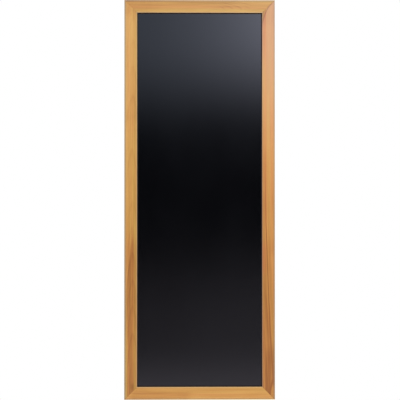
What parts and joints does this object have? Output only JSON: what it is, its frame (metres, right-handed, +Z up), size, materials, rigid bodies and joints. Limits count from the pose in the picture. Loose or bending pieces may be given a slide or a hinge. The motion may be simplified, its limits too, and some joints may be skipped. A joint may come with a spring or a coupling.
{
  "type": "wall chalkboard",
  "caption": "Tall rectangular blackboard panel in a flat mitred wooden frame, hung upright on a wall by D rings on its back, for writing in chalk.",
  "frame": {"origin": "on the wall plane, behind the middle of the board", "axes": "+X right as seen from the front, +Y into the wall, +Z up along the board's height"},
  "size_m": [0.565, 0.025, 1.5],
  "materials": {
    "lacquered_wood": "satin lacquer",
    "black_laminate": "satin",
    "hardboard": "raw",
    "balancing_paper": "matte",
    "point_steel": "blued",
    "zinc_steel": "zinc plated",
    "screw_steel": "yellow zinc plated",
    "bumper_rubber": "matte"
  },
  "bodies": {
    "board": {"left_stile": "lacquered_wood", "right_stile": "lacquered_wood", "top_rail": "lacquered_wood", "bottom_rail": "lacquered_wood", "writing_sheet": "black_laminate", "panel_core": "hardboard", "backing_sheet": "balancing_paper", "panel_points": "point_steel", "v_nails_top_left": "point_steel", "v_nails_top_right": "point_steel", "v_nails_bottom_left": "point_steel", "v_nails_bottom_right": "point_steel", "hanger_strap_left": "zinc_steel", "hanger_strap_right": "zinc_steel", "hanger_screws": "screw_steel", "bumper_top_left": "bumper_rubber", "bumper_top_right": "bumper_rubber", "bumper_bottom_left": "bumper_rubber", "bumper_bottom_right": "bumper_rubber"},
    "left_ring": {"hanger_ring_left": "zinc_steel"},
    "right_ring": {"hanger_ring_right": "zinc_steel"}
  },
  "joints": [
    {"name": "left_ring_swing", "type": "hinge", "parent": "board", "child": "left_ring", "pos_m": [-0.263, -0.00282, 0.6], "axis": [-1, 0, 0], "range_deg": [-2, 175]},
    {"name": "right_ring_swing", "type": "hinge", "parent": "board", "child": "right_ring", "pos_m": [0.263, -0.00282, 0.6], "axis": [-1, 0, 0], "range_deg": [-2, 175]}
  ]
}
